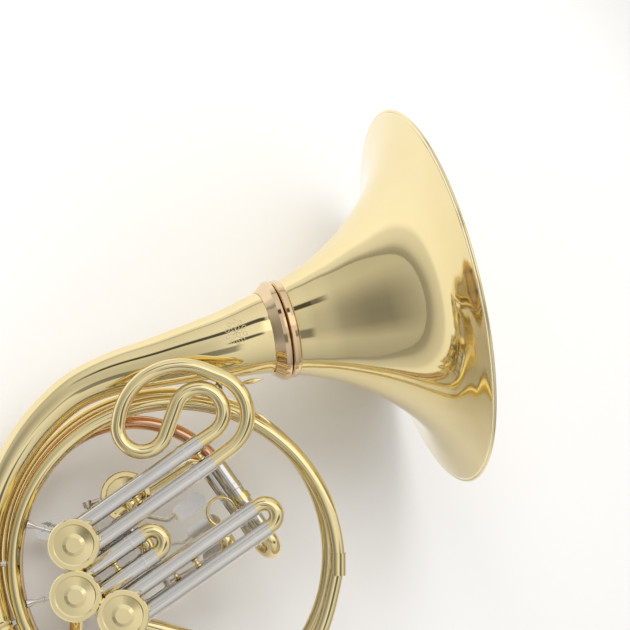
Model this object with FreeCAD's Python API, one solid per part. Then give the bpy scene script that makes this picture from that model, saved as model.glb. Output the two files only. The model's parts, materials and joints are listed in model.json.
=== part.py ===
import FreeCAD, Part
import math
import os

# Full double french horn with a screw bell, lying on its bell rim and coil.
# Everything is drawn flat first, in the frame of the coil: u to the right,
# v up, w towards the player's far side (the side of the valve caps), in mm,
# with the coil centre at the origin.  The last section tips the whole horn
# onto the table.

# ---- driving sizes (mm, degrees) -------------------------------------------
WALL = 0.5
RUNNING_FIT = 0.04

BELL_AXIS = (0.9475, 0.2163, -0.2355)
BELL_MOUTH = (200.4, 215.0, -42.2)
BELL_RADIUS = 154.0
BELL_WALL = 0.7
FLARE_PROFILE = [(0, 154.0), (5.8, 134.0), (13.6, 114.5), (25.2, 97.6), (40.7, 81.8),
                 (60.0, 66.5), (83.2, 52.6), (102.6, 44.1), (118.2, 38.6)]
RING_START = 118.6
RING_SPLIT = 124.8

TAIL_STATIONS = [(70.1, 185.3, -9.8, 33.2), (64.4, 183.9, -8.4, 32.0), (41.6, 176.6, -4.0, 27.8),
                 (12.0, 169.6, -2.0, 23.6), (-16.0, 161.9, -1.5, 20.4),
                 (-46.8, 154.6, -1.0, 17.6), (-73.4, 143.8, -0.6, 15.8)]
TAIL_SECTIONS = 26
SPIRAL_ANGLES = [125, 140, 160, 180, 200]
BRANCH_ANGLES = [200, 225, 250, 275, 300, 330, 360]
SPIRAL = [(125, 160.3, -0.3, 14.8), (140, 157.3, 0.0, 13.6), (160, 154.5, 0.0, 12.2),
          (180, 152.5, 0.0, 11.2), (200, 150.0, 0.0, 10.2), (225, 147.0, 0.0, 9.2),
          (250, 143.5, 0.0, 8.4), (275, 139.5, 0.0, 7.6), (300, 135.5, 0.0, 7.0),
          (330, 131.5, 0.0, 6.5), (360, 130.0, 0.0, 6.2)]

RING_RADIUS = 130.0
RING_TUBE = 6.2
INNER_CENTRE = (-7.8, 4.9)
INNER_RADIUS = 131.0
INNER_TUBE = 6.0
INNER_LEVEL = -28.0

LEADPIPE_RADIUS = 130.5
LEADPIPE_EASE = (-35.1, 27.3, 86.0)
LEADPIPE_TURN = (-30.0, 35.5, 76.5)
LEADPIPE_TUBE = 5.7
LEADPIPE_LEVEL = -14.5
RECEIVER_LENGTH = 62.0
RECEIVER_BORE = 4.1

SLIDE_HEADING = 35.0
LEG_SPACING = 19.2
LEG_INNER = 5.9
LEG_SLEEVE = 6.45
FERRULE = 6.6
CROOK_TUBE = 5.9
F_LEVEL = 32.0
BB_LEVEL = 8.0

CASING_RADIUS = 17.0
CASING_BORE = 15.0
CASING_BOTTOM = -8.0
CASING_TOP = 44.0
CHANGE_BOTTOM = -33.0
CHANGE_TOP = -8.0
CAP_RADIUS = 20.5
CAP_HEIGHT = 5.0
FLOOR = 3.0
PLATE = 3.0
STEM = 3.0
JOURNAL = 4.0
HUB_RADIUS = 4.0
HUB_DROP = 9.0
ROW_STAGGER = 22.0
ROW_PITCH = 33.85
THIRD_VALVE = (-77.7, 19.5)
CHANGE_VALVE = (-40.6, 53.8)

LEVER_HINGE_REACH = 34.0
STRING_ARM = 20.0
LEVER_ROD = 2.0
LEVER_TUBE = 3.4
BAR_DROP = 1.9
PADDLE_ROW = {"1": 74.0, "2": 52.0, "3": 30.0}
PADDLE_REACH = 84.0

# How the horn lies: turned about u, then about v.
REST_ABOUT_U = 7.30
REST_ABOUT_V = -23.13

PARTS = {}


# ---- helpers ----------------------------------------------------------------
def vec(u, v, w=0.0):
    return FreeCAD.Vector(u, v, w)


def unit(vector):
    return vector * (1.0 / vector.Length)


def heading(angle):
    """Unit vector in the coil plane."""
    return vec(math.cos(math.radians(angle)), math.sin(math.radians(angle)))


def circle_corners(centre, radius, start, end, level):
    """Corners of the polygon drawn round an arc; rounding them gives the arc."""
    steps = max(1, math.ceil(abs(end - start) / 60.0))
    half = math.radians((end - start) / steps / 2.0)
    corners = []
    for step in range(steps):
        angle = math.radians(start) + (2 * step + 1) * half
        reach = radius / math.cos(half)
        corner = vec(centre[0] + reach * math.cos(angle),
                     centre[1] + reach * math.sin(angle), level)
        corners.append((corner, radius))
    return corners


def on_circle(centre, radius, angle, level):
    return vec(centre[0], centre[1], level) + heading(angle) * radius


def rounded_wire(start, corners, end):
    """Straight runs joined by tangent arcs at the corners."""
    points = [start] + [corner for corner, radius in corners] + [end]
    edges = []
    here = start
    for index, (corner, radius) in enumerate(corners):
        arriving = unit(corner - points[index])
        leaving = unit(points[index + 2] - corner)
        turn = arriving.getAngle(leaving)
        reach = radius * math.tan(turn / 2.0)
        first = corner - arriving * reach
        last = corner + leaving * reach
        towards = unit(leaving - arriving)
        middle = corner + towards * (radius / math.cos(turn / 2.0) - radius)
        if (first - here).Length > 1e-4:
            edges.append(Part.LineSegment(here, first).toShape())
            here = first
        edges.append(Part.Arc(here, middle, last).toShape())
        here = last
    if (end - here).Length > 1e-4:
        edges.append(Part.LineSegment(here, end).toShape())
    return Part.Wire(edges)


def sweep(wire, radius):
    """Round bar along a wire of lines and arcs."""
    edge = wire.Edges[0]
    start = edge.valueAt(edge.FirstParameter)
    along = edge.tangentAt(edge.FirstParameter)
    ring = Part.Wire([Part.Circle(start, along, radius).toShape()])
    bar = wire.makePipeShell([ring], True, False)
    if bar.Volume < 0:
        bar.reverse()
    return bar


def tube(wire, radius, wall=WALL):
    return sweep(wire, radius).cut(sweep(wire, radius - wall))


def rod(start, end, radius):
    return Part.makeCylinder(radius, (end - start).Length, start, end - start)


def pipe(start, end, radius, bore):
    return rod(start, end, radius).cut(rod(start, end, bore))


def turned(start, axis, profile):
    """Solid of revolution; the profile is (distance along the axis, radius)."""
    axis = unit(axis)
    side = axis.cross(vec(0, 0, 1))
    if side.Length < 0.1:
        side = axis.cross(vec(1, 0, 0))
    side = unit(side)
    points = [start + axis * along + side * radius for along, radius in profile]
    face = Part.Face(Part.makePolygon(points + [points[0]]))
    return face.revolve(start, axis, 360)


def group(shapes):
    return Part.makeCompound(shapes)


def fuse(shapes):
    return shapes[0].fuse(shapes[1:]).removeSplitter()


# ---- bell ---------------------------------------------------------------------
AXIS = unit(vec(*BELL_AXIS))
MOUTH = vec(*BELL_MOUTH)


def on_axis(distance):
    """Point on the bell axis, measured back from the mouth."""
    return MOUTH - AXIS * distance


def bell_flare():
    side = unit(AXIS.cross(vec(0, 0, 1)))
    outer = [on_axis(d) + side * r for d, r in FLARE_PROFILE]
    inner = [on_axis(d) + side * (r - BELL_WALL) for d, r in FLARE_PROFILE]
    outside = Part.BSplineCurve()
    outside.interpolate(outer)
    inside = Part.BSplineCurve()
    inside.interpolate(inner)
    edges = [outside.toShape(), Part.LineSegment(outer[-1], inner[-1]).toShape(),
             inside.toShape(), Part.LineSegment(inner[0], outer[0]).toShape()]
    face = Part.Face(Part.Wire(Part.__sortEdges__(edges)))
    return face.revolve(MOUTH, AXIS, 360)


def bell_rim_wire():
    return Part.makeTorus(BELL_RADIUS + 0.7, 1.3, on_axis(-1.5), AXIS)


def flare_screw_ring():
    profile = [(0, 37.8), (0, 40.0), (2.2, 40.4), (4.6, 40.0), (5.6, 38.4),
               (6.0, 36.0), (6.0, 33.2), (0.2, 33.2)]
    return turned(on_axis(RING_START), -AXIS, profile)


def tail_screw_ring():
    profile = [(0, 33.4), (0, 39.0), (0.8, 40.6), (2.6, 41.0), (5.2, 40.2),
               (9.5, 36.6), (12.0, 34.6), (12.0, 33.6), (11.6, 33.6), (11.6, 32.4),
               (0, 32.4)]
    centres, radii = tail_line()
    ring = turned(on_axis(RING_SPLIT + 0.4), -AXIS, profile)
    return ring.cut(loft_body(*smooth_stations(centres, radii, TAIL_SECTIONS)))


def spiral_station(angle):
    for index, (at, radius, level, tube_radius) in enumerate(SPIRAL):
        if at == angle:
            return on_circle((0, 0), radius, angle, level), tube_radius
    raise ValueError(angle)


def smooth_stations(centres, radii, count):
    """Closer, evenly spaced stations along a smooth curve through the given ones."""
    line = Part.BSplineCurve()
    line.interpolate(centres)
    marks = [line.parameter(centre) for centre in centres]
    points = line.discretize(Number=count + 1)
    sizes = []
    for point in points:
        place = line.parameter(point)
        span = max(0, min(len(marks) - 2, sum(1 for mark in marks if mark <= place) - 1))
        share = (place - marks[span]) / (marks[span + 1] - marks[span])
        sizes.append(radii[span] + (radii[span + 1] - radii[span]) * share)
    return points, sizes


def loft_body(centres, radii):
    """Solid of short cones through round sections standing square to the centreline."""
    last = len(centres) - 1
    rings = []
    for index, centre in enumerate(centres):
        along = centres[min(index + 1, last)] - centres[max(index - 1, 0)]
        side = unit(along.cross(vec(0, 0, 1))) * radii[index]
        top = unit(side.cross(along)) * radii[index]
        circle = Part.Circle(centre + top, centre + side, centre - top)
        rings.append(Part.Wire([circle.toShape()]))
    return Part.makeLoft(rings, True, True)


def loft_tube(centres, radii, wall, count):
    """Tapered tube with an even wall."""
    centres, radii = smooth_stations(centres, radii, count)
    inner = [radius - wall for radius in radii]
    return loft_body(centres, radii).cut(loft_body(centres, inner))


def tail_line():
    """Centres and outside radii of the tail, from the screw ring to the coil."""
    centres = [vec(u, v, w) for u, v, w, r in TAIL_STATIONS]
    radii = [r for u, v, w, r in TAIL_STATIONS]
    for angle in SPIRAL_ANGLES:
        centre, radius = spiral_station(angle)
        centres.append(centre)
        radii.append(radius)
    return centres, radii


def bell_tail():
    centres, radii = tail_line()
    return loft_tube(centres, radii, 0.6, TAIL_SECTIONS)


def bell_branch():
    stations = [spiral_station(angle) for angle in BRANCH_ANGLES]
    return loft_tube([c for c, r in stations], [r for c, r in stations], WALL, 30)


# ---- main ring tube, inner loop and leadpipe --------------------------------------
def valve_centre(number):
    along = heading(SLIDE_HEADING)
    across = heading(SLIDE_HEADING - 90.0)
    third = vec(*THIRD_VALVE)
    if number == "3":
        return third
    if number == "2":
        return third + across * ROW_PITCH - along * ROW_STAGGER
    if number == "1":
        return third + across * (2 * ROW_PITCH)
    return vec(*CHANGE_VALVE)


def ring_tube():
    """Main ring from the end of the bell branch, round the coil, into valve 1."""
    corners = circle_corners((0, 0), RING_RADIUS, 0, 230, 0.0)
    leave = on_circle((0, 0), RING_RADIUS, 230, 0.0)
    bend = leave + heading(320) * 67.0
    corners.append((bend, 34.0))
    port = valve_centre("1") + vec(LEG_SPACING / 2, -16.0, 0.0)
    start = on_circle((0, 0), RING_RADIUS, 0, 0.0)
    return tube(rounded_wire(start, corners, port), RING_TUBE).cut(casing_solid("1"))


def ring_coupler():
    joint = on_circle((0, 0), RING_RADIUS, 0, 0.0)
    return pipe(joint - vec(0, 9, 0), joint + vec(0, 9, 0), RING_TUBE + 0.75, RING_TUBE + 0.25)


def inner_loop():
    """Second ring of tubing behind the first, from valve 1 round to valve 2."""
    level = INNER_LEVEL
    leave = on_circle(INNER_CENTRE, INNER_RADIUS, -30, level)
    corners = [(leave - heading(60) * 28.0, 24.0)]
    corners += circle_corners(INNER_CENTRE, INNER_RADIUS, -30, 200, level)
    under = on_circle(INNER_CENTRE, INNER_RADIUS, 200, level) + heading(290) * 45.0
    corners.append((under, 20.0))
    corners.append((vec(-84.0, -72.0, level), 14.0))
    start = valve_centre("1") + vec(12.0, -12.0, -1.0)
    end = valve_centre("2") + vec(-3.0, -14.0, 0.4)
    loop = tube(rounded_wire(start, corners, end), INNER_TUBE)
    return loop.cut(casing_solid("1")).cut(casing_solid("2"))


SLIDE_DOWN = heading(-54.5)
TUNING_TOP = vec(32.3, 79.9, LEADPIPE_LEVEL)
TUNING_STEP = vec(-8.14, -5.81, -16.0)


def leadpipe():
    """Tapered-bore mouthpipe, receiver end first, travelling clockwise."""
    level = LEADPIPE_LEVEL
    corners = circle_corners((0, 0), LEADPIPE_RADIUS, 280, 142.1, level)
    u, v, radius = LEADPIPE_EASE
    corners += circle_corners((u, v), radius, 142.1, 58.1, level)
    u, v, radius = LEADPIPE_TURN
    corners += circle_corners((u, v), radius, 58.1, 35.5, level)
    begin = on_circle((0, 0), LEADPIPE_RADIUS, 280, level) + heading(10) * 150.0
    return tube(rounded_wire(begin, corners, TUNING_TOP), LEADPIPE_TUBE)


def mouthpiece_receiver():
    tip = on_circle((0, 0), LEADPIPE_RADIUS, 280, LEADPIPE_LEVEL) + heading(10) * 178.0
    profile = [(0, RECEIVER_BORE), (0, 6.4), (2, 7.2), (6, 7.2), (8, 6.5), (50, 6.5),
               (52, 7.1), (56, 7.1), (RECEIVER_LENGTH, 6.1), (RECEIVER_LENGTH, 5.76),
               (27.8, 5.76), (27.8, RECEIVER_BORE)]
    return turned(tip, -heading(10), profile)


def valve_feed():
    """From the return leg of the tuning slide into the change valve."""
    start = TUNING_TOP + TUNING_STEP + SLIDE_DOWN * 0.2
    bend = start - SLIDE_DOWN * 14.0
    port = vec(CHANGE_VALVE[0] + 15.0, CHANGE_VALVE[1] + 5.0, -22.0)
    return tube(rounded_wire(start, [(bend, 12.0)], port), INNER_TUBE).cut(casing_solid("4"))


# ---- valves -------------------------------------------------------------------------
VALVES = ("1", "2", "3", "4")


def valve_span(number):
    if number == "4":
        return CHANGE_BOTTOM, CHANGE_TOP
    return CASING_BOTTOM, CASING_TOP


def valve_ports(number):
    """Levels of the air passages through a valve."""
    if number == "4":
        return [-19.0]
    return [BB_LEVEL, F_LEVEL]


def slide_leg_line(number, side, level):
    """Start point of a leg on the valve axis plane, before it meets the casing."""
    across = heading(SLIDE_HEADING - 90.0)
    centre = valve_centre(number)
    return vec(centre.x, centre.y, level) + across * (side * LEG_SPACING / 2.0)


def casing_solid(number):
    bottom, top = valve_span(number)
    centre = valve_centre(number)
    return rod(vec(centre.x, centre.y, bottom), vec(centre.x, centre.y, top), CASING_RADIUS)


def casing(number):
    """Rotor casing: a cup with its own lower bearing, open under the cap."""
    bottom, top = valve_span(number)
    centre = valve_centre(number)
    low = vec(centre.x, centre.y, bottom)
    shape = casing_solid(number)
    shape = shape.cut(rod(low + vec(0, 0, FLOOR), vec(centre.x, centre.y, top + 1), CASING_BORE))
    shape = shape.cut(rod(low - vec(0, 0, 1), low + vec(0, 0, FLOOR + 1), STEM + RUNNING_FIT))
    for level in valve_ports(number):
        for side in (-1, 1):
            start = slide_leg_line(number, side, level)
            if number != "4":
                shape = shape.cut(rod(start, start + heading(SLIDE_HEADING) * 30, 5.4))
        for angle in (SLIDE_HEADING + 145, SLIDE_HEADING + 215):
            start = vec(centre.x, centre.y, level)
            shape = shape.cut(rod(start, start + heading(angle) * 20, 5.4))
    return shape


def bearing_plate(number):
    centre = valve_centre(number)
    top = valve_span(number)[1]
    low = vec(centre.x, centre.y, top - PLATE)
    high = vec(centre.x, centre.y, top)
    return pipe(low, high, CASING_BORE - 0.03, JOURNAL + RUNNING_FIT)


def valve_cap(number):
    """Screwed cap with a milled edge and a turned face."""
    centre = valve_centre(number)
    top = valve_span(number)[1]
    profile = [(0.3, 0), (0.3, CASING_RADIUS + 0.1), (-4.0, CASING_RADIUS + 0.1),
               (-4.0, CASING_RADIUS + 1.2), (0.6, CAP_RADIUS - 0.6), (1.2, CAP_RADIUS),
               (3.0, CAP_RADIUS), (3.8, CAP_RADIUS - 0.8), (3.8, CAP_RADIUS - 4.0),
               (3.0, CAP_RADIUS - 5.0), (3.2, 9.0), (CAP_HEIGHT, 6.0), (CAP_HEIGHT, 0)]
    return turned(vec(centre.x, centre.y, top), vec(0, 0, 1), profile)


def rotor(number):
    """Rotor with two curved passages at each level, journals and stop hub."""
    bottom, top = valve_span(number)
    centre = valve_centre(number)
    low = bottom + FLOOR + 0.1
    high = top - PLATE - 0.1
    body = rod(vec(centre.x, centre.y, low), vec(centre.x, centre.y, high), CASING_BORE - 0.07)
    for level in valve_ports(number):
        for side in (-1, 1):
            middle = vec(centre.x, centre.y, level) + heading(SLIDE_HEADING) * (side * 21.2)
            body = body.cut(Part.makeTorus(15.0, 5.4, middle, vec(0, 0, 1)))
    stem = rod(vec(centre.x, centre.y, bottom - HUB_DROP - 2), vec(centre.x, centre.y, low + 1),
               STEM)
    journal = rod(vec(centre.x, centre.y, high - 1), vec(centre.x, centre.y, top - 0.2), JOURNAL)
    return fuse([body, stem, journal])


def hub_level(number):
    return valve_span(number)[0] - HUB_DROP


def stop_hub(number):
    """String drum and stop arm clamped on the stem."""
    centre = valve_centre(number)
    level = hub_level(number)
    drum = turned(vec(centre.x, centre.y, level), vec(0, 0, 1),
                  [(-3.0, STEM + 0.01), (-3.0, 5.6), (-1.6, 5.6), (-1.2, HUB_RADIUS),
                   (1.2, HUB_RADIUS), (1.6, 5.6), (3.0, 5.6), (3.0, STEM + 0.01)])
    arm = Part.makeBox(7.0, 3.0, 2.0, vec(4.2, -1.5, 0.9))
    arm.rotate(vec(0, 0, 0), vec(0, 0, 1), STOP_ARM_ANGLE)
    arm.translate(vec(centre.x, centre.y, level))
    return fuse([drum, arm])


STOP_ARM_ANGLE = 170.0
BUMPER_REACH = 9.0
BUMPER_LEAD = 27.0


def stop_bumper(number, angle):
    centre = valve_centre(number)
    spot = vec(centre.x, centre.y, 0) + heading(angle) * BUMPER_REACH
    top = valve_span(number)[0]
    return rod(vec(spot.x, spot.y, top - 8.8), vec(spot.x, spot.y, top - 0.05), 1.8)


def stop_bumpers():
    pins = []
    for number in VALVES:
        turn = 90.0 if number == "4" else -90.0
        lead = math.copysign(BUMPER_LEAD, turn)
        for angle in (STOP_ARM_ANGLE - lead, STOP_ARM_ANGLE + turn + lead):
            pins.append(stop_bumper(number, angle))
    return group(pins)


# ---- slides ----------------------------------------------------------------------
# name: valve, level, sleeve end and ferrule end along the heading, crook
SLIDES = {
    "f_first": ("1", F_LEVEL, 118.0, 133.0),
    "f_second": ("2", F_LEVEL, 58.0, 70.0),
    "f_third": ("3", F_LEVEL, 111.0, 127.0),
    "b_first": ("1", BB_LEVEL, 74.0, 86.0),
    "b_second": ("2", BB_LEVEL, 44.0, 54.0),
    "b_third": ("3", BB_LEVEL, 31.0, 39.5),
}
INSERT = {"f_first": 60.0, "f_second": 32.0, "f_third": 60.0,
          "b_first": 42.0, "b_second": 20.0, "b_third": 12.0}


def slide_sleeves(name):
    number, level, sleeve_end, ferrule_end = SLIDES[name]
    along = heading(SLIDE_HEADING)
    sleeves = []
    for side in (-1, 1):
        start = slide_leg_line(number, side, level)
        outer = rod(start, start + along * sleeve_end, LEG_SLEEVE).cut(casing_solid(number))
        sleeve = outer.cut(rod(start, start + along * (sleeve_end + 1), LEG_INNER + RUNNING_FIT))
        band = pipe(start + along * (sleeve_end - 2.4), start + along * (sleeve_end - 0.2),
                    LEG_SLEEVE + 0.45, LEG_SLEEVE - 0.1)
        sleeves.append(fuse([sleeve, band]))
    return group(sleeves)


def slide_legs(name):
    """Inner legs with the ferrules that hold the crook."""
    number, level, sleeve_end, ferrule_end = SLIDES[name]
    along = heading(SLIDE_HEADING)
    legs = []
    for side in (-1, 1):
        start = slide_leg_line(number, side, level)
        profile = [(sleeve_end - INSERT[name], LEG_INNER), (sleeve_end + 0.4, LEG_INNER),
                   (sleeve_end + 0.4, FERRULE + 0.3), (sleeve_end + 2.0, FERRULE + 0.3),
                   (sleeve_end + 2.4, FERRULE), (ferrule_end, FERRULE),
                   (ferrule_end, CROOK_TUBE + 0.05), (sleeve_end + 3.0, CROOK_TUBE + 0.05),
                   (sleeve_end + 3.0, LEG_INNER - WALL), (sleeve_end - INSERT[name],
                                                         LEG_INNER - WALL)]
        legs.append(turned(start, along, profile))
    return group(legs)


def slide_point(name, side, distance):
    number, level, sleeve_end, ferrule_end = SLIDES[name]
    return slide_leg_line(number, side, level) + heading(SLIDE_HEADING) * distance


def plain_crook(name):
    """Half-round bow between the two legs."""
    ferrule_end = SLIDES[name][3]
    start = slide_point(name, -1, ferrule_end - 4.0)
    end = slide_point(name, 1, ferrule_end - 4.0)
    reach = LEG_SPACING / 2.0
    far = heading(SLIDE_HEADING) * (reach + 6.0)
    corners = [(start + far, reach - 0.001), (end + far, reach - 0.001)]
    return tube(rounded_wire(start, corners, end), CROOK_TUBE)


def belt_wire(start, pulleys, end):
    """Line-and-arc path that leaves start, wraps each pulley and reaches end."""
    stops = [(start.x, start.y, 0.0, 0)] + pulleys + [(end.x, end.y, 0.0, 0)]
    touches = []
    for (u0, v0, r0, turn0), (u1, v1, r1, turn1) in zip(stops, stops[1:]):
        span = math.hypot(u1 - u0, v1 - v0)
        line = math.atan2(v1 - v0, u1 - u0)
        lean = math.asin((turn0 * r0 - turn1 * r1) / span)
        angle = line + lean
        normal = (math.sin(angle), -math.cos(angle))
        first = vec(u0 + turn0 * r0 * normal[0], v0 + turn0 * r0 * normal[1], start.z)
        last = vec(u1 + turn1 * r1 * normal[0], v1 + turn1 * r1 * normal[1], start.z)
        touches.append((first, last))
    edges = []
    for index, (first, last) in enumerate(touches):
        edges.append(Part.LineSegment(first, last).toShape())
        if index < len(pulleys):
            u, v, radius, turn = pulleys[index]
            after = touches[index + 1][0]
            a = math.atan2(last.y - v, last.x - u)
            b = math.atan2(after.y - v, after.x - u)
            sweep_angle = (b - a) % (2 * math.pi) if turn > 0 else -((a - b) % (2 * math.pi))
            middle = a + sweep_angle / 2.0
            edges.append(Part.Arc(last, vec(u + radius * math.cos(middle),
                                            v + radius * math.sin(middle), start.z),
                                  after).toShape())
    return Part.Wire(edges)


THIRD_CROOK = [(20.2, 123.0, 19.3, 1), (-25.0, 111.3, 19.3, -1),
               (5.9, 110.3, 50.0, -1), (25.4, 121.0, 32.9, -1)]


def third_crook():
    """Long looped crook of the third-valve F slide."""
    start = slide_point("f_third", -1, SLIDES["f_third"][3] - 4.0)
    end = slide_point("f_third", 1, SLIDES["f_third"][3] - 4.0)
    return tube(belt_wire(start, THIRD_CROOK, end), CROOK_TUBE)


def waisted_post(start, end, radius=2.1):
    """Turned brace: flared feet, thin waist with a bead in the middle."""
    length = (end - start).Length
    half = length / 2.0
    profile = [(0, 0), (0, radius * 1.5), (0.8, radius * 1.5), (half * 0.55, radius * 0.62),
               (half - 1.0, radius * 0.62), (half - 0.7, radius), (half + 0.7, radius),
               (half + 1.0, radius * 0.62), (length - half * 0.55, radius * 0.62),
               (length - 0.8, radius * 1.5), (length, radius * 1.5), (length, 0)]
    return turned(start, end - start, profile)


def between(first, last, gap_first, gap_last):
    along = unit(last - first)
    return first + along * gap_first, last - along * gap_last


def third_slide_posts():
    """Braces that travel with the third F slide."""
    near = between(slide_point("f_third", -1, 120.0), slide_point("f_third", 1, 120.0),
                   FERRULE + 0.02, FERRULE + 0.02)
    star = between(vec(30.4, 138.9, F_LEVEL), vec(40.6, 150.6, F_LEVEL),
                   CROOK_TUBE + 0.02, CROOK_TUBE + 0.02)
    crook = third_crook()
    return group([waisted_post(*near), waisted_post(star[0], star[1], 1.6).cut(crook)])


def sleeve_posts():
    """Braces soldered between the fixed sleeves of each slide pair."""
    posts = []
    for name, distance in (("f_third", 60.0), ("f_first", 70.0), ("f_second", 38.0),
                           ("b_first", 48.0)):
        ends = between(slide_point(name, -1, distance), slide_point(name, 1, distance),
                       LEG_SLEEVE + 0.02, LEG_SLEEVE + 0.02)
        posts.append(waisted_post(*ends))
    return group(posts)


# ---- main tuning slide ---------------------------------------------------------------
TUNING_SLEEVE = 26.0
TUNING_FERRULE = 72.0


def tuning_leg(side, distance):
    top = TUNING_TOP if side == 0 else TUNING_TOP + TUNING_STEP
    return top + SLIDE_DOWN * distance


def tuning_sleeves():
    sleeves = []
    for side in (0, 1):
        profile = [(0.3, 6.5), (TUNING_SLEEVE - 2.2, 6.5), (TUNING_SLEEVE - 2.0, 6.9),
                   (TUNING_SLEEVE, 6.9), (TUNING_SLEEVE, LEG_INNER + RUNNING_FIT),
                   (2.3, LEG_INNER + RUNNING_FIT), (2.3, 5.76), (0.3, 5.76)]
        sleeves.append(turned(tuning_leg(side, -3.0 if side == 0 else 0.0), SLIDE_DOWN, profile))
    return group(sleeves)


def tuning_legs():
    legs = []
    for side in (0, 1):
        end = TUNING_SLEEVE
        profile = [(5.0, LEG_INNER), (end + 0.4, LEG_INNER), (end + 0.4, 6.8),
                   (end + 2.4, 6.8), (end + 2.8, 6.4), (TUNING_FERRULE, 6.4),
                   (TUNING_FERRULE, CROOK_TUBE + 0.05), (end + 3.4, CROOK_TUBE + 0.05),
                   (end + 3.4, LEG_INNER - WALL), (5.0, LEG_INNER - WALL)]
        legs.append(turned(tuning_leg(side, -3.0 if side == 0 else 0.0), SLIDE_DOWN, profile))
    return group(legs)


def tuning_crook():
    start = tuning_leg(0, TUNING_FERRULE - 7.0)
    end = tuning_leg(1, TUNING_FERRULE - 7.0)
    reach = TUNING_STEP.Length / 2.0
    far = SLIDE_DOWN * (reach + 10.0)
    corners = [(start + far, reach - 0.001), (end + far, reach - 0.001)]
    return tube(rounded_wire(start, corners, end), CROOK_TUBE)


def pull_ring():
    """Finger ring on a collar of the tuning slide."""
    spot = tuning_leg(0, 34.0)
    collar = pipe(spot - SLIDE_DOWN * 3.0, spot + SLIDE_DOWN * 3.0, 7.6, 6.44)
    centre = spot + unit(vec(-0.814, -0.581, 0)) * 19.5
    ring = Part.makeTorus(11.6, 1.4, centre, vec(0, 0, 1))
    return fuse([collar, ring])


# ---- levers ----------------------------------------------------------------------------
ALONG = heading(SLIDE_HEADING)
ACROSS = heading(SLIDE_HEADING - 90.0)


def row_point(across, along, level):
    third = vec(*THIRD_VALVE)
    return vec(third.x, third.y, level) + ACROSS * across + ALONG * along


STRING_SIDE = HUB_RADIUS + 0.45
HINGE_LEVEL = CASING_BOTTOM - HUB_DROP - STRING_ARM
LEVER_ROW = {"3": 0.0 + STRING_SIDE, "2": ROW_PITCH + STRING_SIDE,
             "1": 2 * ROW_PITCH + STRING_SIDE}


def finger_lever(number):
    """Hinge tube, string arm up to the drum level, bar and touch plate."""
    across = LEVER_ROW[number]
    hinge = row_point(across, LEVER_HINGE_REACH, HINGE_LEVEL)
    barrel = rod(hinge - ACROSS * 5.0, hinge + ACROSS * 5.0, LEVER_TUBE)
    arm_top = row_point(across, LEVER_HINGE_REACH, HINGE_LEVEL + STRING_ARM + 1.8)
    arm = rod(hinge, arm_top, 1.5)
    target = PADDLE_ROW[number]
    leave = row_point(across, LEVER_HINGE_REACH + 5.0, HINGE_LEVEL - BAR_DROP)
    bend = row_point(target, LEVER_HINGE_REACH + 30.0, HINGE_LEVEL - BAR_DROP)
    tip = row_point(target, PADDLE_REACH - 12.0, HINGE_LEVEL - BAR_DROP)
    bar_start = hinge - vec(0, 0, BAR_DROP)
    bar = sweep(rounded_wire(bar_start, [(leave, 3.0), (bend, 6.0)], tip), 1.9)
    plate = Part.makeBox(30.0, 14.0, 1.8, vec(-15.0, -7.0, -0.9))
    plate = plate.makeFillet(6.5, [edge for edge in plate.Edges
                                   if abs(edge.tangentAt(0).z) > 0.9])
    plate.rotate(vec(0, 0, 0), vec(0, 0, 1), SLIDE_HEADING)
    plate.translate(row_point(target, PADDLE_REACH, HINGE_LEVEL - BAR_DROP - 0.6))
    lever = fuse([barrel, arm, bar, plate])
    return lever.cut(rod(hinge - ACROSS * 20.0, hinge + ACROSS * 20.0, LEVER_ROD + RUNNING_FIT))


def lever_rod():
    return rod(row_point(-4.0, LEVER_HINGE_REACH, HINGE_LEVEL),
               row_point(82.0, LEVER_HINGE_REACH, HINGE_LEVEL), LEVER_ROD)


def lever_bracket(across):
    """Leg from the valve casings down to one bearing of the lever rod."""
    top = row_point(across, 8.0, CASING_BOTTOM - 0.1)
    beam = Part.makeBox(29.0, 5.0, 2.4, vec(0, -2.5, -2.4))
    beam.rotate(vec(0, 0, 0), vec(0, 0, 1), SLIDE_HEADING)
    beam.translate(top)
    hinge = row_point(across, LEVER_HINGE_REACH, HINGE_LEVEL)
    post = rod(row_point(across, LEVER_HINGE_REACH, CASING_BOTTOM - 0.1), hinge, 2.6)
    eye = rod(hinge - ACROSS * 2.5, hinge + ACROSS * 2.5, 4.2)
    bracket = fuse([beam, post, eye])
    return bracket.cut(rod(hinge - ACROSS * 9, hinge + ACROSS * 9, LEVER_ROD + 0.02))


THUMB_DIRECTION = heading(200.0)
THUMB_SIDE = heading(290.0)
THUMB_REACH = 33.0
THUMB_LEVEL = CHANGE_BOTTOM - HUB_DROP + STRING_ARM


def thumb_point(across, along, level):
    return vec(CHANGE_VALVE[0], CHANGE_VALVE[1], level) + THUMB_SIDE * across + THUMB_DIRECTION * along


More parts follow.
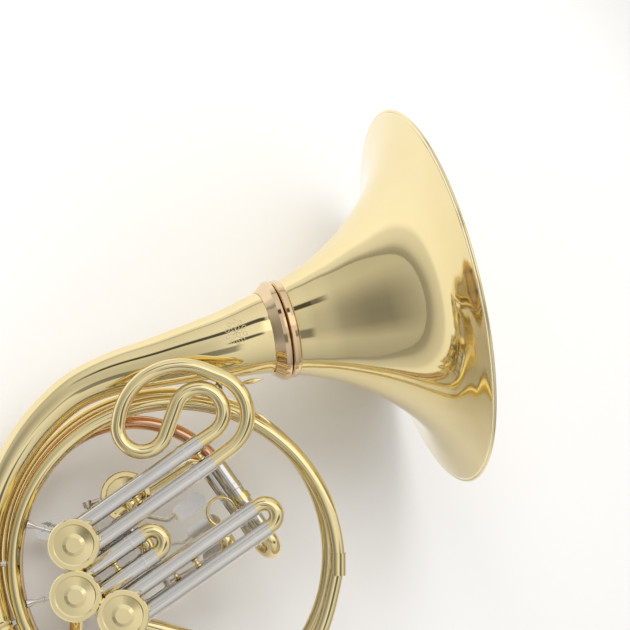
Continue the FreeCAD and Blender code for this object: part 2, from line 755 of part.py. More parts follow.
def thumb_lever():
    hinge = thumb_point(STRING_SIDE, THUMB_REACH, THUMB_LEVEL)
    barrel = rod(hinge - THUMB_SIDE * 4.0, hinge + THUMB_SIDE * 4.0, LEVER_TUBE)
    arm_end = thumb_point(STRING_SIDE, THUMB_REACH, THUMB_LEVEL - STRING_ARM - 1.8)
    arm = rod(hinge, arm_end, 1.5)
    tip = thumb_point(STRING_SIDE, THUMB_REACH + 26.0, THUMB_LEVEL - 1.0)
    bar = rod(hinge - vec(0, 0, 1.0), tip, 1.9)
    plate = Part.makeBox(24.0, 13.0, 1.8, vec(-12.0, -6.5, -0.9))
    plate = plate.makeFillet(6.0, [edge for edge in plate.Edges
                                   if abs(edge.tangentAt(0).z) > 0.9])
    plate.rotate(vec(0, 0, 0), vec(0, 0, 1), 200.0)
    plate.translate(thumb_point(STRING_SIDE, THUMB_REACH + 36.0, THUMB_LEVEL - 1.6))
    lever = fuse([barrel, arm, bar, plate])
    return lever.cut(rod(hinge - THUMB_SIDE * 20, hinge + THUMB_SIDE * 20,
                         LEVER_ROD + RUNNING_FIT))


def thumb_rod():
    return rod(thumb_point(STRING_SIDE - 11.0, THUMB_REACH, THUMB_LEVEL),
               thumb_point(STRING_SIDE + 5.5, THUMB_REACH, THUMB_LEVEL), LEVER_ROD)


def thumb_bracket():
    """Arm from the change valve casing to the thumb lever rod."""
    hinge = thumb_point(STRING_SIDE - 8.5, THUMB_REACH, THUMB_LEVEL)
    inner = thumb_point(STRING_SIDE - 8.5, 16.3, THUMB_LEVEL)
    arm = rod(inner, hinge, 2.4)
    eye = rod(hinge - THUMB_SIDE * 2.5, hinge + THUMB_SIDE * 2.5, 4.2)
    bracket = fuse([arm, eye]).cut(casing_solid("4"))
    return bracket.cut(rod(hinge - THUMB_SIDE * 9, hinge + THUMB_SIDE * 9, LEVER_ROD + 0.02))


def spring_coil(centre, axis, turns=4):
    """Closed coils of the return spring, wound round the hinge."""
    coils = []
    for turn in range(turns):
        spot = centre + axis * (turn * 0.95)
        coils.append(Part.makeTorus(4.0, 0.55, spot, axis))
    legs = rod(centre + vec(0, 0, 4.0), centre + vec(0, 0, 4.0) + axis * (turns - 1) * 0.95, 0.5)
    return fuse(coils + [legs])


def lever_springs():
    springs = []
    for number in ("1", "2", "3"):
        spot = row_point(LEVER_ROW[number] + 6.6, LEVER_HINGE_REACH, HINGE_LEVEL)
        springs.append(spring_coil(spot, ACROSS, 3))
    return group(springs)


def string(number):
    """Cord from the lever's arm to the drum, with its wrap round the drum."""
    centre = valve_centre(number)
    level = hub_level(number)
    if number == "4":
        across, along, reach = THUMB_SIDE, THUMB_DIRECTION, THUMB_REACH
    else:
        across, along = ACROSS, ALONG
        reach = LEVER_HINGE_REACH + (ROW_STAGGER if number == "2" else 0.0)
    middle = vec(centre.x, centre.y, level)
    end = middle + across * STRING_SIDE + along * (reach - 1.6)
    corner = middle + across * STRING_SIDE - along * STRING_SIDE
    stop = middle - across * 0.5 - along * STRING_SIDE
    return sweep(rounded_wire(end, [(corner, STRING_SIDE - 0.01)], stop), 0.4)


# ---- trim ---------------------------------------------------------------------------------
def ring_braces():
    """Posts between the main ring and the tubes beside it."""
    posts = []
    for angle, radius in ((180.0, 152.5 - 11.2), (200.0, 150.0 - 10.2)):
        inner = on_circle((0, 0), RING_RADIUS + RING_TUBE + 0.05, angle, 0.0)
        outer = on_circle((0, 0), radius - 0.4, angle, 0.0)
        posts.append(rod(inner, outer, 2.4))
    return posts


def casing_braces():
    """Struts from the casings out to the ring tubes."""
    struts = []
    for number, angle in (("2", 195.0), ("3", 165.0)):
        centre = valve_centre(number)
        outer = on_circle((0, 0), RING_RADIUS - RING_TUBE - 0.05, angle, 0.0)
        inner = vec(centre.x, centre.y, 0.0)
        along = unit(outer - inner)
        struts.append(waisted_post(inner + along * (CASING_RADIUS + 0.05), outer, 2.4))
    return struts


def pinky_hook():
    """Finger hook on the leadpipe."""
    base = on_circle((0, 0), LEADPIPE_RADIUS - LEADPIPE_TUBE - 0.1, 250.0, LEADPIPE_LEVEL)
    inward = heading(70.0)
    side = heading(160.0)
    corners = [(base + inward * 20.0, 8.0), (base + inward * 20.0 + side * 22.0, 8.0)]
    end = base + inward * 9.0 + side * 22.0
    return sweep(rounded_wire(base, corners, end), 2.2)


SIMPLE = {
    "bell_flare": bell_flare, "bell_rim_wire": bell_rim_wire,
    "bell_flare_ring": flare_screw_ring, "bell_tail_ring": tail_screw_ring,
    "bell_tail": bell_tail, "bell_branch": bell_branch,
    "ring_tube": ring_tube, "ring_coupler": ring_coupler, "inner_loop": inner_loop,
    "leadpipe": leadpipe, "mouthpiece_receiver": mouthpiece_receiver,
    "valve_feed": valve_feed, "stop_bumpers": stop_bumpers,
    "tuning_sleeves": tuning_sleeves, "tuning_legs": tuning_legs,
    "tuning_crook": tuning_crook, "tuning_pull_ring": pull_ring,
    "thumb_lever": thumb_lever, "lever_springs": lever_springs,
    "f_third_crook": third_crook, "f_third_posts": third_slide_posts,
    "sleeve_posts": sleeve_posts, "pinky_hook": pinky_hook,
}


def build_parts():
    for name, maker in SIMPLE.items():
        PARTS[name] = maker()
    for number in VALVES:
        PARTS["casing_" + number] = casing(number)
        PARTS["rotor_" + number] = rotor(number)
        PARTS["stop_hub_" + number] = stop_hub(number)
        PARTS["string_" + number] = string(number)
    for number in ("1", "2", "3"):
        PARTS["lever_" + number] = finger_lever(number)
    PARTS["bearing_plates"] = group([bearing_plate(number) for number in VALVES])
    PARTS["valve_caps"] = group([valve_cap(number) for number in VALVES])
    PARTS["lever_brackets"] = group([lever_bracket(17.0), lever_bracket(60.0),
                                     thumb_bracket()])
    PARTS["lever_rods"] = group([lever_rod(), thumb_rod()])
    PARTS["tube_braces"] = group(ring_braces() + casing_braces())
    for name in SLIDES:
        PARTS[name + "_legs"] = slide_legs(name)
        if name != "f_third":
            PARTS[name + "_crook"] = plain_crook(name)
    for letter in ("f", "b"):
        pairs = [slide_sleeves(name) for name in SLIDES if name.startswith(letter)]
        PARTS[letter + "_slide_sleeves"] = group(pairs)


# ---- laying the horn on the table ---------------------------------------------------
def lie_down():
    rest = FreeCAD.Rotation(vec(0, 1, 0), REST_ABOUT_V).multiply(
        FreeCAD.Rotation(vec(1, 0, 0), REST_ABOUT_U))
    whole = None
    for shape in PARTS.values():
        shape.Placement = FreeCAD.Placement(vec(0, 0, 0), rest).multiply(shape.Placement)
        box = shape.optimalBoundingBox(False)
        if whole is None:
            whole = box
        else:
            whole.add(box)
    shift = vec(-whole.Center.x, -whole.Center.y, -whole.ZMin)
    for shape in PARTS.values():
        shape.Placement = FreeCAD.Placement(shift, FreeCAD.Rotation()).multiply(shape.Placement)


build_parts()
lie_down()
os.makedirs("parts", exist_ok=True)
for name, shape in PARTS.items():
    print(name, shape.isValid(), round(shape.Volume, 1), len(shape.Solids))
    shape.exportStep("parts/%s.step" % name)
print(len(PARTS), "parts")
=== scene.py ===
import bpy
import json
import math
from mathutils import Matrix, Vector


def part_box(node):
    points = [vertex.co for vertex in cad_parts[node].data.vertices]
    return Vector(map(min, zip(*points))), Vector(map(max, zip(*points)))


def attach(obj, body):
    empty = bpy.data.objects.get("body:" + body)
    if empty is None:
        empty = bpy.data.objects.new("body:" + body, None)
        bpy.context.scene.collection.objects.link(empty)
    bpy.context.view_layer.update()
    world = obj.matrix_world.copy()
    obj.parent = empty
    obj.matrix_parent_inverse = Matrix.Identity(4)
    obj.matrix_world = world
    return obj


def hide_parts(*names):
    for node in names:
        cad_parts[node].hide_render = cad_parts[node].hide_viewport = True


# Looks of the french horn.  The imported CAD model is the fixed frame.  Places are
# given in the frame of the coil, u to the right, v up and w out of the coil's
# front, and turned into world places by the coil's tip on the table.

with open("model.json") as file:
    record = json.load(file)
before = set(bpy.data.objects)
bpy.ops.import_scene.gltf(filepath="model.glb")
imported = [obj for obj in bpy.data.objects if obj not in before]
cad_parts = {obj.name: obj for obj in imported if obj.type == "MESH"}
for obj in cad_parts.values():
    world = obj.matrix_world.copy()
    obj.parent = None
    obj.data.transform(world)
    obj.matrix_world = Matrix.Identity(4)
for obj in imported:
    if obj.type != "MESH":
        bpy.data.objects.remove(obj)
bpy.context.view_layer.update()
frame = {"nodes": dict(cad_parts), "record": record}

# ---- driving values (metres, degrees) ------------------------------------------
TIP_ABOUT_U = 7.30
TIP_ABOUT_V = -23.13
RING_RADIUS = 0.130

# Bell, tail and branch, as in the CAD model.
BELL_MOUTH_SPOT = (0.2004, 0.2150, -0.0422)
BELL_HEADING = (0.9475, 0.2163, -0.2355)
# Flare: (distance back from the mouth, outside radius).
FLARE = ((0.0, 0.1540), (0.0058, 0.1340), (0.0136, 0.1145), (0.0252, 0.0976), (0.0407, 0.0818),
         (0.0600, 0.0665), (0.0832, 0.0526), (0.1026, 0.0441), (0.1182, 0.0386))
FLARE_WALL = 0.0007
FLARE_SEGMENTS = 320
# Tail: (u, v, w, outside radius), from the screw ring towards the coil.
TAIL = ((0.0701, 0.1853, -0.0098, 0.0332), (0.0644, 0.1839, -0.0084, 0.0320),
        (0.0416, 0.1766, -0.0040, 0.0278), (0.0120, 0.1696, -0.0020, 0.0236),
        (-0.0160, 0.1619, -0.0015, 0.0204), (-0.0468, 0.1546, -0.0010, 0.0176),
        (-0.0734, 0.1438, -0.0006, 0.0158))
TAIL_WALL = 0.0006
# Spirals: (angle in degrees, radius from the coil's centre, outside radius of the tube).
TAIL_SPIRAL = ((125, 0.1603, 0.0148), (140, 0.1573, 0.0136), (160, 0.1545, 0.0122),
               (180, 0.1525, 0.0112), (200, 0.1500, 0.0102))
BRANCH_SPIRAL = ((200, 0.1500, 0.0102), (225, 0.1470, 0.0092), (250, 0.1435, 0.0084),
                 (275, 0.1395, 0.0076), (300, 0.1355, 0.0070), (330, 0.1315, 0.0065),
                 (360, 0.1300, 0.0062))
BRANCH_WALL = 0.0005
TUBE_SEGMENTS = 96
TUBE_STEPS = 10
FLARE_STEPS = 12
EASING_PASSES = 24

# Crest, centred at (u, v) on the tail.
CREST = (0.0490, 0.1866)
CREST_TURN = math.radians(12)
CREST_LINE = 0.00028
LINE_SIDES = 8
PETALS = 6
PETAL_REACH = 0.0024
PETAL_SPREAD = 0.42
PETAL_STEPS = 28
LEAVES = 10
LEAF_MIDDLE = 0.0072
LEAF_LENGTH = 0.0017
LEAF_SPREAD = 0.17
LEAF_STRETCH = 1.15
LEAF_STEPS = 22
ABOVE_TAIL = 0.2
TAIL_FRONT = 0.02

# Leaf-shaped flanges: (name, start, end, width, level).
FLANGES = (("tail_flange", (0.0508, 0.1449), (0.0707, 0.1487), 0.0042, 0.0015),
           ("ring_flange", (0.0632, 0.1225), (0.0770, 0.1125), 0.0034, 0.0080))
FLANGE_ROWS = 17
FLANGE_SIDES = 16
FLANGE_LIFT = 0.45
FLANGE_TIP = 0.02

# Four-pointed brace on the crook of the third slide.
STAR_SPOT = (0.0356, 0.1457)
STAR_REACH = 0.0062
STAR_WAIST = 0.0022
STAR_LEVEL = 0.0320
STAR_THICK = 0.0034
STAR_TURN = 0.6
STAR_EDGE = 0.14

# Metals: size of the drift between tones, size of the polishing marks, their height.
METAL_DRIFT = 14.0
METAL_MARKS = 260.0
METAL_BUMP = 0.00002
COAT_ROUGHNESS = 0.03

# Camera: along the coil's normal, over (along, up), at the height above the coil.
CAMERA_HEIGHT = 2.0
CAMERA_ALONG = 0.1117
CAMERA_UP = 0.2001
LENS = 142.2
SENSOR = 36.0

# Key light, in the frame of the coil, in metres and watts.
KEY_SPOT = (0.45, 1.70, 1.70)
KEY_TARGET = (0.1, 0.15, 0.0)
KEY_SIZE = 1.6
KEY_POWER = 31.0

# Floor: how pale it is, by the distance from its middle; the darkening outward is a painted falloff
# of the light around the horn.
FLOOR_SIZE = 9.0
FLOOR_LIGHT_FALLOFF = ((0.0, 1.0), (0.52, 1.0), (0.66, 0.76), (1.20, 0.66), (1.90, 0.42), (9.0, 0.36))

# Studio, by the angle above the coil's front and by the share that points along
# the coil (-1 left, 1 right).  The white sheets are dimmer on the left; a dark
# screen, two dark gaps and a bright lamp are patches, each a curve in both.
# Every curve is a row of (angle or share, brightness).
SHEETS = ((-180.0, 0.50), (-100.0, 0.45), (-70.0, 0.68), (-50.0, 0.80), (-25.0, 0.93), (0.0, 0.98),
          (30.0, 1.0), (60.0, 0.98), (90.0, 0.90), (130.0, 0.80), (180.0, 0.60))
LEFT_SIDE = ((-1.0, 0.62), (-0.85, 0.66), (-0.60, 0.68), (-0.45, 0.74), (-0.30, 0.86),
             (-0.15, 0.98), (0.10, 1.04), (1.0, 1.0))
SCREEN = (((-180.0, 0.0), (-42.0, 0.0), (-30.0, 0.32), (-20.0, 0.54), (-5.0, 0.58), (10.0, 0.55),
           (20.0, 0.46), (30.0, 0.33), (40.0, 0.16), (52.0, 0.0), (180.0, 0.0)),
          ((-1.0, 0.0), (-0.95, 0.10), (-0.85, 0.57), (-0.75, 1.0), (-0.60, 1.0), (-0.50, 0.85),
           (-0.35, 0.60), (-0.15, 0.40), (-0.05, 0.0), (1.0, 0.0)))
UPPER_GAP = (((-180.0, 0.0), (33.5, 0.0), (35.0, 0.90), (44.0, 0.90), (46.0, 0.0), (180.0, 0.0)),
             ((-1.0, 0.0), (-0.37, 0.0), (-0.27, 1.0), (0.12, 1.0), (0.22, 0.0), (1.0, 0.0)))
LOWER_GAP = (((-180.0, 0.0), (-33.0, 0.0), (-30.0, 0.80), (-14.0, 0.80), (-10.0, 0.0), (180.0, 0.0)),
             ((-1.0, 0.0), (-0.26, 0.0), (-0.20, 0.8), (-0.03, 0.8), (0.02, 0.0), (0.17, 0.0),
              (0.24, 1.0), (0.70, 1.0), (0.80, 0.0), (1.0, 0.0)))
LAMP = (((-180.0, 0.0), (2.0, 0.0), (6.0, 0.40), (33.0, 0.40), (35.0, 0.0), (180.0, 0.0)),
        ((-1.0, 0.0), (0.02, 0.0), (0.12, 1.0), (0.80, 1.0), (1.0, 0.0)))
# Half angles of the dark spot in front of the coil, where it fades and where it is full.
SPOT_ANGLES = (5.5, 3.0)
SPOT_SHADE = 0.9
SPOT_FADE = 0.001
COIL_LINE = (0.975, 0.22, 0.0)
COIL_RISE = (-0.22, 0.975, 0.0)
COIL_FRONT = (0.0, 0.0, 1.0)
STUDIO_TINT = (1.0, 0.985, 0.96)
STUDIO_STRENGTH = 0.90


# ---- coil frame ------------------------------------------------------------------
TIP = Matrix.Rotation(math.radians(TIP_ABOUT_V), 3, "Y") @ Matrix.Rotation(
    math.radians(TIP_ABOUT_U), 3, "X")


def box_centre(node):
    low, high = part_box(node)
    return (Vector(low) + Vector(high)) / 2.0


COIL_CENTRE = box_centre("ring_coupler") - TIP @ Vector((RING_RADIUS, 0.0, 0.0))


def coil_point(u, v, w):
    """World place of a point given in the frame of the coil."""
    return COIL_CENTRE + TIP @ Vector((u, v, w))


BELL_AXIS = (TIP @ Vector(BELL_HEADING)).normalized()
BELL_MOUTH = coil_point(*BELL_MOUTH_SPOT)


# ---- mesh helpers ----------------------------------------------------------------
def spline(values, steps):
    """Even smooth points through the given ones (Catmull-Rom)."""
    points = [Vector(value) for value in values]
    padded = [points[0] * 2 - points[1]] + points + [points[-1] * 2 - points[-2]]
    smooth = []
    for index in range(1, len(padded) - 2):
        before, start, end, after = padded[index - 1:index + 3]
        for step in range(steps):
            t = step / steps
            smooth.append(0.5 * (2 * start + (end - before) * t
                                 + (2 * before - 5 * start + 4 * end - after) * t ** 2
                                 + (3 * start - before - 3 * end + after) * t ** 3))
    smooth.append(points[-1])
    return smooth


def make_object(name, verts, faces, material, body):
    """Smooth-shaded mesh piece that rides on a body."""
    mesh = bpy.data.meshes.new(name)
    mesh.from_pydata([tuple(vert) for vert in verts], [], faces)
    mesh.validate()
    mesh.shade_smooth()
    mesh.materials.append(material)
    piece = bpy.data.objects.new(name, mesh)
    bpy.context.collection.objects.link(piece)
    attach(piece, body)
    return piece


def ring_faces(rows, columns, closed):
    """Quads between rows of points that each close on themselves."""
    faces = []
    last = rows if closed else rows - 1
    for row in range(last):
        for column in range(columns):
            right = (column + 1) % columns
            up = (row + 1) % rows
            faces.append((row * columns + column, row * columns + right,
                          up * columns + right, up * columns + column))
    return faces


def square_axes(along):
    """Two directions square to the given one."""
    side = along.cross(TIP @ Vector((0, 0, 1)))
    side.normalize()
    return side, side.cross(along).normalized()


def lathe(name, start, axis, profile, segments, material, body):
    """Surface of revolution of a closed profile of (distance along the axis, radius)."""
    side, top = square_axes(axis)
    verts = []
    for along, radius in profile:
        for step in range(segments):
            turn = 2 * math.pi * step / segments
            out = side * math.cos(turn) + top * math.sin(turn)
            verts.append(start + axis * along + out * radius)
    return make_object(name, verts, ring_faces(len(profile), segments, True), material, body)


def loft(name, stations, wall, segments, material, body):
    """Tapered tube with a wall, through (place, radius) stations."""
    rows = []
    for index, (place, radius) in enumerate(stations):
        before = stations[max(index - 1, 0)][0]
        after = stations[min(index + 1, len(stations) - 1)][0]
        side, top = square_axes((after - before).normalized())
        rows.append((place, side, top, radius))
    loop = rows + [(place, side, top, radius - wall)
                   for place, side, top, radius in reversed(rows)]
    verts = []
    for place, side, top, radius in loop:
        for step in range(segments):
            turn = 2 * math.pi * step / segments
            verts.append(place + (side * math.cos(turn) + top * math.sin(turn)) * radius)
    return make_object(name, verts, ring_faces(len(loop), segments, True), material, body)


# ---- node helpers ----------------------------------------------------------------
def new_material(name):
    """Material with its node tree and shader."""
    material = bpy.data.materials.new(name)
    material.use_nodes = True
    shader = material.node_tree.nodes["Principled BSDF"]
    return material, material.node_tree, shader


def add_node(tree, kind, **values):
    """Node with the given inputs or settings."""
    node = tree.nodes.new(kind)
    for key, value in values.items():
        if key in node.inputs:
            node.inputs[key].default_value = value
        else:
            setattr(node, key, value)
    return node


def colour_variation(tree, shader, light, dark, scale):
    """Slow drift between two tones, as lacquer and polish leave it."""
    place = add_node(tree, "ShaderNodeTexCoord")
    noise = add_node(tree, "ShaderNodeTexNoise", Scale=scale, Detail=3.0)
    ramp = add_node(tree, "ShaderNodeValToRGB")
    ramp.color_ramp.elements[0].position = 0.35
    ramp.color_ramp.elements[0].color = (*dark, 1.0)
    ramp.color_ramp.elements[1].position = 0.65
    ramp.color_ramp.elements[1].color = (*light, 1.0)
    tree.links.new(place.outputs["Object"], noise.inputs["Vector"])
    tree.links.new(noise.outputs["Fac"], ramp.inputs["Fac"])
    tree.links.new(ramp.outputs["Color"], shader.inputs["Base Color"])
    return place


def polish(tree, shader, place, low, high, scale, height):
    """Fine polishing marks: a small change of gloss and a very shallow bump."""
    noise = add_node(tree, "ShaderNodeTexNoise", Scale=scale, Detail=4.0)
    spread = add_node(tree, "ShaderNodeMapRange")
    spread.inputs["To Min"].default_value = low
    spread.inputs["To Max"].default_value = high
    bump = add_node(tree, "ShaderNodeBump", Strength=0.25, Distance=height)
    tree.links.new(place.outputs["Object"], noise.inputs["Vector"])
    tree.links.new(noise.outputs["Fac"], spread.inputs["Value"])
    tree.links.new(spread.outputs["Result"], shader.inputs["Roughness"])
    tree.links.new(noise.outputs["Fac"], bump.inputs["Height"])
    tree.links.new(bump.outputs["Normal"], shader.inputs["Normal"])


def metal(name, light, dark, low, high, coat=0.0):
    """Polished metal in two close tones, with a roughness between low and high."""
    material, tree, shader = new_material(name)
    shader.inputs["Metallic"].default_value = 1.0
    shader.inputs["Coat Weight"].default_value = coat
    shader.inputs["Coat Roughness"].default_value = COAT_ROUGHNESS
    place = colour_variation(tree, shader, light, dark, METAL_DRIFT)
    polish(tree, shader, place, low, high, METAL_MARKS, METAL_BUMP)
    return material


def soft_material(name, light, dark, roughness, scale):
    """Dull rubber or cord in two close tones."""
    material, tree, shader = new_material(name)
    place = colour_variation(tree, shader, light, dark, scale)
    polish(tree, shader, place, roughness - 0.08, roughness + 0.08, scale * 3.0, 0.0002)
    return material


# ---- materials ----------------------------------------------------------------------
YELLOW = metal("yellow_brass", (0.90, 0.77, 0.44), (0.87, 0.73, 0.39), 0.04, 0.07, coat=0.2)
ROSE = metal("rose_brass", (0.80, 0.48, 0.32), (0.74, 0.42, 0.27), 0.08, 0.14, coat=0.25)
RING = metal("ring_brass", (0.84, 0.66, 0.43), (0.79, 0.60, 0.37), 0.06, 0.10, coat=0.2)
NICKEL = metal("nickel_silver", (0.78, 0.76, 0.73), (0.72, 0.70, 0.68), 0.08, 0.14)
MACHINED = metal("machined_brass", (0.72, 0.60, 0.36), (0.64, 0.52, 0.30), 0.22, 0.34)
STEEL = metal("ground_steel", (0.60, 0.60, 0.61), (0.52, 0.52, 0.54), 0.25, 0.38)
RUBBER = soft_material("bumper_rubber", (0.045, 0.045, 0.045), (0.03, 0.03, 0.03), 0.7, 400.0)
CORD = soft_material("string_cord", (0.12, 0.12, 0.13), (0.05, 0.05, 0.06), 0.8, 900.0)
ETCHED = metal("etched_lacquer", (0.90, 0.78, 0.52), (0.82, 0.68, 0.42), 0.38, 0.50)

BY_SLOT = {
    "lacquered_brass": YELLOW,
    "rose_brass": ROSE,
    "ring_brass": RING,
    "nickel_silver": NICKEL,
    "key_nickel": NICKEL,
    "rotor_brass": MACHINED,
    "hinge_steel": STEEL,
    "spring_steel": STEEL,
    "bumper_rubber": RUBBER,
    "string_cord": CORD,
}


def dress_cad_nodes():
    """Give every CAD node the material of its slot in the record."""
    slots = {part["node"]: part["material_slot"] for part in frame["record"]["subparts"]}
    for name, node in frame["nodes"].items():
        material = BY_SLOT[slots[name]]
        for slot in node.material_slots:
            slot.material = material
        if not node.material_slots:
            node.data.materials.append(material)


dress_cad_nodes()


# ---- bell and tail ------------------------------------------------------------------
def spiral_stations(rows):
    """(u, v, w, radius) stations from a spiral given by angle."""
    stations = []
    for angle, radius, tube in rows:
        turn = math.radians(angle)
        stations.append((radius * math.cos(turn), radius * math.sin(turn), 0.0, tube))
    return stations


def eased(points, passes):
    """The same line with its small kinks evened out; both ends stay."""
    for _ in range(passes):
        points = [points[0]] + [(points[index - 1] + points[index] * 2 + points[index + 1]) / 4
                                for index in range(1, len(points) - 1)] + [points[-1]]
    return points


def tapered_tube(name, rows, node, wall):
    """Smooth skin that replaces one of the CAD model's tapered tubes."""
    smooth = eased(spline(rows, TUBE_STEPS), EASING_PASSES)
    stations = [(coil_point(u, v, w), radius) for u, v, w, radius in smooth]
    piece = loft(name, stations, wall, TUBE_SEGMENTS, YELLOW, "horn")
    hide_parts(node)
    return piece


def make_bell():
    """Smooth skin of the flare, turned round the bell's axis."""
    curve = spline([(along, radius, 0.0) for along, radius in FLARE], FLARE_STEPS)
    outer = [(-row.x, row.y) for row in curve]
    inner = [(-row.x, row.y - FLARE_WALL) for row in reversed(curve)]
    bell = lathe("bell_skin", BELL_MOUTH, BELL_AXIS, outer + inner, FLARE_SEGMENTS,
                 YELLOW, "bell")
    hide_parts("bell_flare")
    return bell


make_bell()
tail_skin = tapered_tube("tail_skin", list(TAIL) + spiral_stations(TAIL_SPIRAL), "bell_tail",
                         TAIL_WALL)
tapered_tube("branch_skin", spiral_stations(BRANCH_SPIRAL), "bell_branch", BRANCH_WALL)


# ---- trim ------------------------------------------------------------------------------
def on_ring(centre, radius, angle):
    """Flat point on a circle."""
    return (centre[0] + radius * math.cos(angle), centre[1] + radius * math.sin(angle))


def prism(name, outline, level, thick, material, body):
    """Flat plate with bevelled edges and the given outline in the plane of the coil."""
    count = len(outline)
    middle = sum((Vector(point) for point in outline), Vector((0.0, 0.0))) / count
    inner = [Vector(spot).lerp(middle, STAR_EDGE) for spot in outline]
    layers = ((inner, level - thick / 2), (outline, level - thick / 4),
              (outline, level + thick / 4), (inner, level + thick / 2))
    verts = [coil_point(spot[0], spot[1], height)
             for layer, height in layers for spot in layer]
    faces = ring_faces(len(layers), count, False)
    faces.append(tuple(reversed(range(count))))
    faces.append(tuple(range(3 * count, 4 * count)))
    piece = make_object(name, verts, faces, material, body)
    piece.data.shade_flat()
    return piece


def blade(name, start, end, width, level, body):
    """Leaf-shaped flange with a rounded back and a point at both ends."""
    first = Vector((*start, level))
    last = Vector((*end, level))
    across = Vector((first.y - last.y, last.x - first.x, 0.0)).normalized()
    verts = []
    for step in range(FLANGE_ROWS):
        t = step / (FLANGE_ROWS - 1)
        bulge = max(math.sin(math.pi * t), FLANGE_TIP) * width / 2
        for side in range(FLANGE_SIDES):
            turn = 2 * math.pi * side / FLANGE_SIDES
            spot = first.lerp(last, t) + across * bulge * math.cos(turn)
            lift = FLANGE_LIFT * bulge * math.sin(turn)
            verts.append(coil_point(spot.x, spot.y, spot.z + lift))
    faces = ring_faces(FLANGE_ROWS, FLANGE_SIDES, False)
    faces.append(tuple(reversed(range(FLANGE_SIDES))))
    faces.append(tuple(range((FLANGE_ROWS - 1) * FLANGE_SIDES, FLANGE_ROWS * FLANGE_SIDES)))
    return make_object(name, verts, faces, YELLOW, body)


def star(name, centre, reach, waist, level, thick, turn, body):
    """Four-pointed brace flange with hollowed sides."""
    outline = []
    for corner in range(8):
        radius = reach if corner % 2 == 0 else waist
        outline.append(on_ring(centre, radius, turn + corner * math.pi / 4))
    return prism(name, outline, level, thick, YELLOW, body)


def line_tube(name, points, radius, material, body):
    """Closed loop of round wire through the given places."""
    count = len(points)
    verts = []
    for index, place in enumerate(points):
        ahead = points[(index + 1) % count]
        behind = points[index - 1]
        side, top = square_axes((ahead - behind).normalized())
        for step in range(LINE_SIDES):
            turn = 2 * math.pi * step / LINE_SIDES
            verts.append(place + (side * math.cos(turn) + top * math.sin(turn)) * radius)
    return make_object(name, verts, ring_faces(count, LINE_SIDES, True), material, body)


def on_tail(spot):
    """Place on the front of the tail under a spot of the coil plane."""
    above = coil_point(spot[0], spot[1], ABOVE_TAIL)
    down = TIP @ Vector((0.0, 0.0, -1.0))
    hit, place, normal, face = tail_skin.ray_cast(above, down)
    return place if hit else coil_point(spot[0], spot[1], TAIL_FRONT)


def crest_line(curve, steps):
    """Follow a flat curve, given round the crest's centre, over the tail."""
    places = []
    for step in range(steps):
        across, up = curve(2 * math.pi * step / steps)
        u = CREST[0] + across * math.cos(CREST_TURN) - up * math.sin(CREST_TURN)
        v = CREST[1] + across * math.sin(CREST_TURN) + up * math.cos(CREST_TURN)
        places.append(on_tail((u, v)))
    return places


def make_crest():
    """Flower with a wreath of small leaves etched into the tail."""
    def petal(angle):
        def curve(t):
            reach = PETAL_REACH * (1 - math.cos(t))
            lean = angle + PETAL_SPREAD * math.sin(t)
            return reach * math.cos(lean), reach * math.sin(lean)
        return curve

    def leaf(angle):
        def curve(t):
            reach = LEAF_MIDDLE + LEAF_LENGTH * math.cos(t)
            lean = angle + LEAF_SPREAD * math.sin(t)
            return reach * math.cos(lean), reach * math.sin(lean) * LEAF_STRETCH
        return curve

    for index in range(PETALS):
        curve = petal(index * 2 * math.pi / PETALS)
        line_tube("crest_petal_%d" % index, crest_line(curve, PETAL_STEPS), CREST_LINE,
                  ETCHED, "horn")
    for index in range(LEAVES):
        curve = leaf((index + 0.5) * 2 * math.pi / LEAVES)
        line_tube("crest_leaf_%d" % index, crest_line(curve, LEAF_STEPS), CREST_LINE,
                  ETCHED, "horn")


make_crest()
for name, start, end, width, level in FLANGES:
    blade(name, start, end, width, level, "horn")
star("crook_star", STAR_SPOT, STAR_REACH, STAR_WAIST, STAR_LEVEL, STAR_THICK, STAR_TURN,
     "f_third_slide")


# ---- room ------------------------------------------------------------------------------
def graph(tree, value, low, high, points):
    """Brightness curve through the given (value, brightness) points, low to high."""
    share = add_node(tree, "ShaderNodeMapRange")
    share.inputs["From Min"].default_value = low
    share.inputs["From Max"].default_value = high
    ramp = add_node(tree, "ShaderNodeValToRGB")
    stops = ramp.color_ramp.elements
    for place, shade in points[1:-1]:
        stops.new((place - low) / (high - low))
    for stop, (place, shade) in zip(stops, points):
        stop.color = (shade, shade, shade, 1.0)
    tree.links.new(value, share.inputs["Value"])
    tree.links.new(share.outputs["Result"], ramp.inputs["Fac"])
    return ramp.outputs["Color"]


def make_floor():
    """Pale table top whose colour darkens away from the horn, a painted falloff of the light around
    it.
    """
    bpy.ops.mesh.primitive_plane_add(size=FLOOR_SIZE)
    floor = bpy.context.object
    floor.name = "floor"
    material, tree, shader = new_material("table_top")
    place = colour_variation(tree, shader, (0.95, 0.945, 0.94), (0.93, 0.925, 0.92), 2.0)
    polish(tree, shader, place, 0.55, 0.7, 40.0, 0.0001)
    reach = add_node(tree, "ShaderNodeVectorMath", operation="LENGTH")
    tree.links.new(place.outputs["Object"], reach.inputs[0])
    # painted light falloff: the table colour is multiplied by a curve that darkens it away from the
    # middle
    painted_falloff = graph(tree, reach.outputs["Value"], 0.0, FLOOR_SIZE, FLOOR_LIGHT_FALLOFF)
    tone = add_node(tree, "ShaderNodeVectorMath", operation="MULTIPLY")
    paint = shader.inputs["Base Color"].links[0].from_socket
    tree.links.new(paint, tone.inputs[0])
    tree.links.new(painted_falloff, tone.inputs[1])
    tree.links.new(tone.outputs["Vector"], shader.inputs["Base Color"])
    floor.data.materials.append(material)


def combine(tree, kind, first, second):
    """Math node on two values, each a socket or a number."""
    node = add_node(tree, "ShaderNodeMath", operation=kind)
    for slot, value in enumerate((first, second)):
        if isinstance(value, float):
            node.inputs[slot].default_value = value
        else:
            tree.links.new(value, node.inputs[slot])
    return node.outputs["Value"]


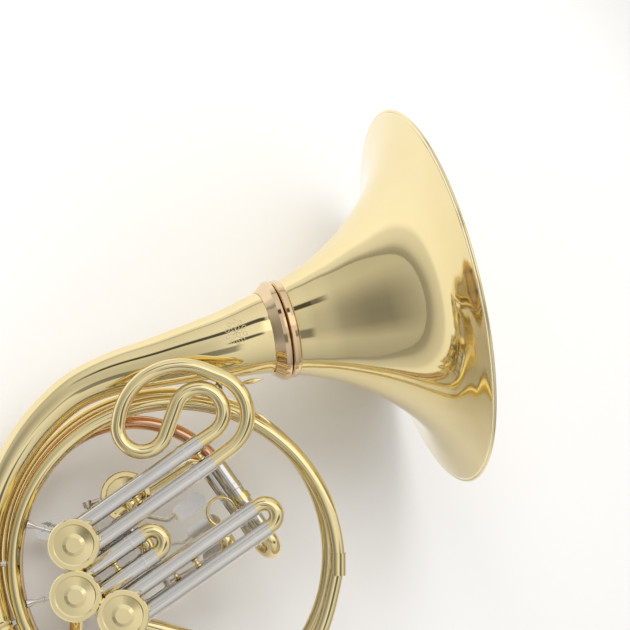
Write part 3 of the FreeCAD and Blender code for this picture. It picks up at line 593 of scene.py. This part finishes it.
def patch(tree, turn, side, shape):
    """Patch of the studio: the product of a curve up and a curve across."""
    up, across = shape
    return combine(tree, "MULTIPLY", graph(tree, turn, -180.0, 180.0, up),
                   graph(tree, side, -1.0, 1.0, across))


def along_axis(tree, direction, axis):
    """Share of a direction that points along an axis of the coil."""
    node = add_node(tree, "ShaderNodeVectorMath", operation="DOT_PRODUCT")
    node.inputs[1].default_value = TIP @ Vector(axis).normalized()
    tree.links.new(direction, node.inputs[0])
    return node.outputs["Value"]


def make_world():
    """Studio of soft white sheets with gaps that run along the bell tail."""
    world = bpy.data.worlds.new("studio")
    bpy.context.scene.world = world
    world.use_nodes = True
    tree = world.node_tree
    background = tree.nodes["Background"]
    direction = add_node(tree, "ShaderNodeTexCoord").outputs["Generated"]
    side = along_axis(tree, direction, COIL_LINE)
    rise = along_axis(tree, direction, COIL_RISE)
    front = along_axis(tree, direction, COIL_FRONT)
    turn = combine(tree, "MULTIPLY", combine(tree, "ARCTAN2", rise, front), 180.0 / math.pi)
    sheets = graph(tree, turn, -180.0, 180.0, SHEETS)
    left = graph(tree, side, -1.0, 1.0, LEFT_SIDE)
    screen, upper, lower, lamp = (patch(tree, turn, side, shape)
                                  for shape in (SCREEN, UPPER_GAP, LOWER_GAP, LAMP))
    outer, inner = (math.cos(math.radians(angle)) for angle in SPOT_ANGLES)
    low, high = outer - SPOT_FADE, inner + SPOT_FADE
    spot = graph(tree, front, low, high,
                 ((low, 0.0), (outer, 0.0), (inner, SPOT_SHADE), (high, SPOT_SHADE)))
    bright = combine(tree, "MULTIPLY", sheets, left)
    for shade in (screen, upper, lower, spot):
        bright = combine(tree, "MULTIPLY", bright, combine(tree, "SUBTRACT", 1.0, shade))
    bright = combine(tree, "ADD", bright, lamp)
    tint = add_node(tree, "ShaderNodeVectorMath", operation="SCALE")
    tint.inputs[0].default_value = STUDIO_TINT
    tree.links.new(bright, tint.inputs["Scale"])
    tree.links.new(tint.outputs["Vector"], background.inputs["Color"])
    background.inputs["Strength"].default_value = STUDIO_STRENGTH


def add_area_light(name, place, target, size, power):
    data = bpy.data.lights.new(name, "AREA")
    data.size = size
    data.energy = power
    light = bpy.data.objects.new(name, data)
    bpy.context.collection.objects.link(light)
    light.location = place
    aim = (Vector(target) - Vector(place)).to_track_quat("-Z", "Y")
    light.rotation_euler = aim.to_euler()
    light.visible_glossy = False


def make_lights():
    add_area_light("key", coil_point(*KEY_SPOT), coil_point(*KEY_TARGET), KEY_SIZE, KEY_POWER)


def make_camera():
    """Camera that looks straight down on the coil's plane."""
    data = bpy.data.cameras.new("camera")
    data.lens = LENS
    data.sensor_width = SENSOR
    data.clip_end = 50.0
    camera = bpy.data.objects.new("camera", data)
    bpy.context.collection.objects.link(camera)
    turn = TIP.to_4x4()
    camera.matrix_world = Matrix.Translation(
        coil_point(CAMERA_ALONG, CAMERA_UP, CAMERA_HEIGHT)) @ turn
    bpy.context.scene.camera = camera


make_floor()
make_world()
make_lights()
make_camera()
bpy.context.scene.view_settings.view_transform = "Standard"
